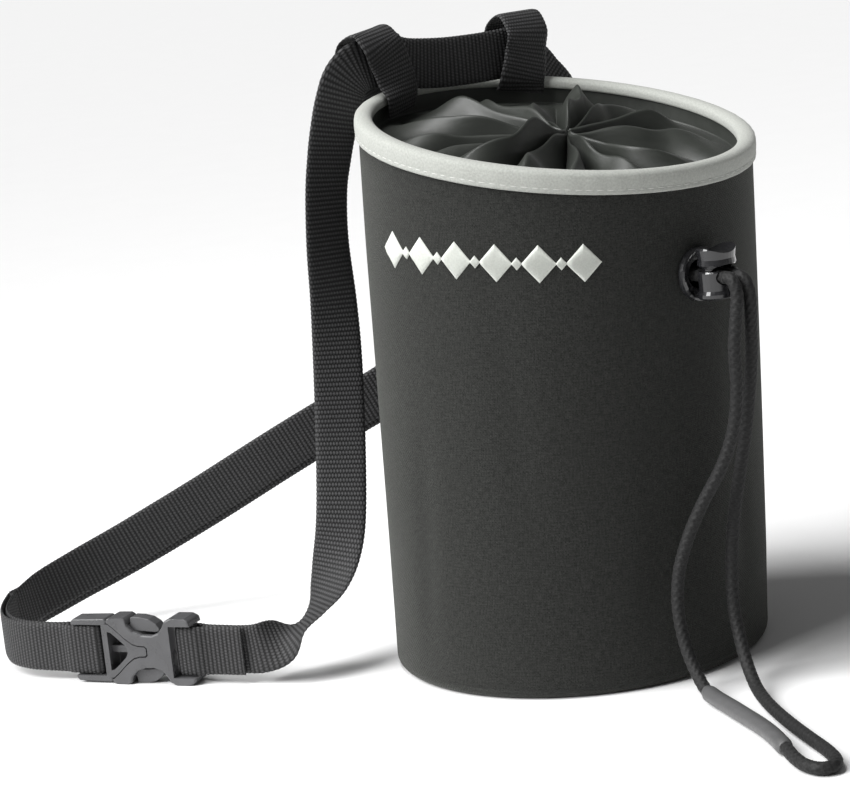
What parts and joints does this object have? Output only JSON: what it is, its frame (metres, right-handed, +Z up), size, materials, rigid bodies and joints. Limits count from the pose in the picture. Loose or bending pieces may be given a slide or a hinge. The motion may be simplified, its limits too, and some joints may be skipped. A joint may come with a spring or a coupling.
{
  "type": "chalk bag",
  "caption": "Climber's chalk bag: tapered fabric cylinder with a gathered closure, cord lock, drawcord loop, rim loops and a buckled waist belt.",
  "frame": {"origin": "centre of the bag's flat base, on the surface it stands on", "axes": "+Z up; -Y is the emblem side; +X is towards the cord lock; the belt runs out to -X"},
  "size_m": [0.2576, 0.2437, 0.199],
  "materials": {
    "shell_fabric": "matt melange weave",
    "liner_fleece": "brushed fleece",
    "hoop_plastic": "matt",
    "binding_tape": "fine matt weave",
    "sleeve_nylon": "smooth nylon with a soft sheen",
    "lock_plastic": "gloss",
    "buckle_plastic": "satin",
    "webbing": "ribbed weave",
    "cord_braid": "fine braid",
    "splice_tube": "semi-gloss shrunk tube",
    "spring_steel": "bright wire"
  },
  "bodies": {
    "bag": {"shell_wall": "shell_fabric", "shell_base": "shell_fabric", "liner_wall": "liner_fleece", "liner_base": "liner_fleece", "rim_hoop": "hoop_plastic", "rim_binding": "binding_tape", "closure_sleeve": "sleeve_nylon", "eyelet_grommet": "lock_plastic", "eyelet_washer": "lock_plastic", "cordlock_barrel": "lock_plastic", "cordlock_spring": "spring_steel", "drawcord_inner": "cord_braid", "drawcord_front_strand": "cord_braid", "splice_sleeve": "splice_tube", "drawcord_back_strand": "cord_braid", "belt_webbing": "webbing", "belt_adjuster_turn": "webbing", "belt_tail": "webbing", "belt_loop_left": "webbing", "belt_loop_right": "webbing", "buckle_socket": "buckle_plastic"},
    "lock_plunger": {"cordlock_plunger": "lock_plastic"},
    "buckle_plug": {"buckle_plug": "buckle_plastic"},
    "latch_upper": {"latch_arm_upper": "buckle_plastic"},
    "latch_lower": {"latch_arm_lower": "buckle_plastic"}
  },
  "joints": [
    {"name": "cordlock_press", "type": "slide", "parent": "bag", "child": "lock_plunger", "axis": [0, 0, -1], "range_m": [0, 0.0012], "stiffness_N_per_m": 600, "deforming": ["cordlock_spring"]},
    {"name": "buckle_pull", "type": "slide", "parent": "bag", "child": "buckle_plug", "axis": [-0.9135, 0.4067, 0], "range_m": [0, 0.02], "deforming": ["belt_adjuster_turn", "latch_arm_upper", "latch_arm_lower"]},
    {"name": "latch_upper_squeeze", "type": "hinge", "parent": "buckle_plug", "child": "latch_upper", "pos_m": [-0.14889, 0.01224, 0.0183], "axis": [0.4067, 0.9135, 0], "range_deg": [0, 16], "stiffness_Nm_per_rad": 0.1},
    {"name": "latch_lower_squeeze", "type": "hinge", "parent": "buckle_plug", "child": "latch_lower", "pos_m": [-0.14889, 0.01224, 0.0037], "axis": [-0.4067, -0.9135, 0], "range_deg": [0, 16], "stiffness_Nm_per_rad": 0.1}
  ]
}
